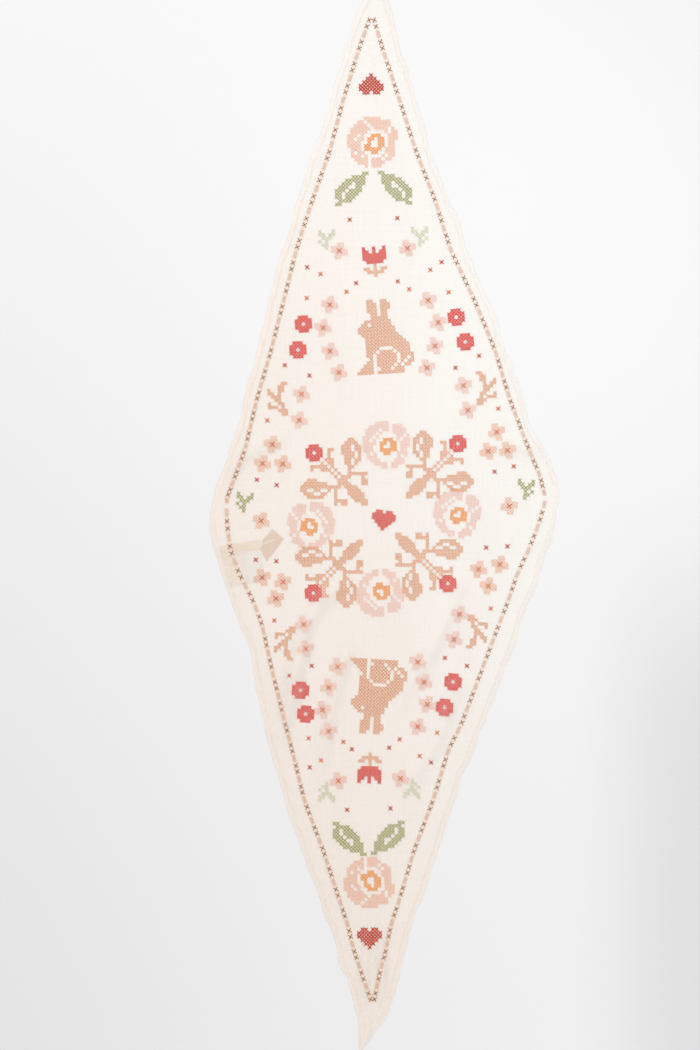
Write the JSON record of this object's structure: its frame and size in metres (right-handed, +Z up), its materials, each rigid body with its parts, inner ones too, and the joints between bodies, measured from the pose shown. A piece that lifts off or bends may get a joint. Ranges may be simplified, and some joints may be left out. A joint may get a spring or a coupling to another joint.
{
  "type": "bandana",
  "caption": "Long diamond head scarf of sheer cream cotton voile with cross-stitch flowers and a narrow turned hem, lying flat.",
  "frame": {"origin": "middle of the cloth's box, on the surface that it lies on", "axes": "+X to the right across the cloth, +Y along its long diagonal to the upper point, +Z up, away from the surface"},
  "size_m": [0.3492, 1.091, 0.0084],
  "materials": {
    "cloth_panel": "sheer cream cotton voile, matt, with fine yarns and a denser turned hem",
    "care_label": "thin white satin tape, blank",
    "woven_label": "tan woven tape, blank",
    "embroidery": "stranded cotton embroidery thread, softly lustrous"
  },
  "bodies": {
    "root": {"cloth_panel": "cloth_panel", "care_label": "care_label", "woven_label": "woven_label"}
  },
  "joints": []
}
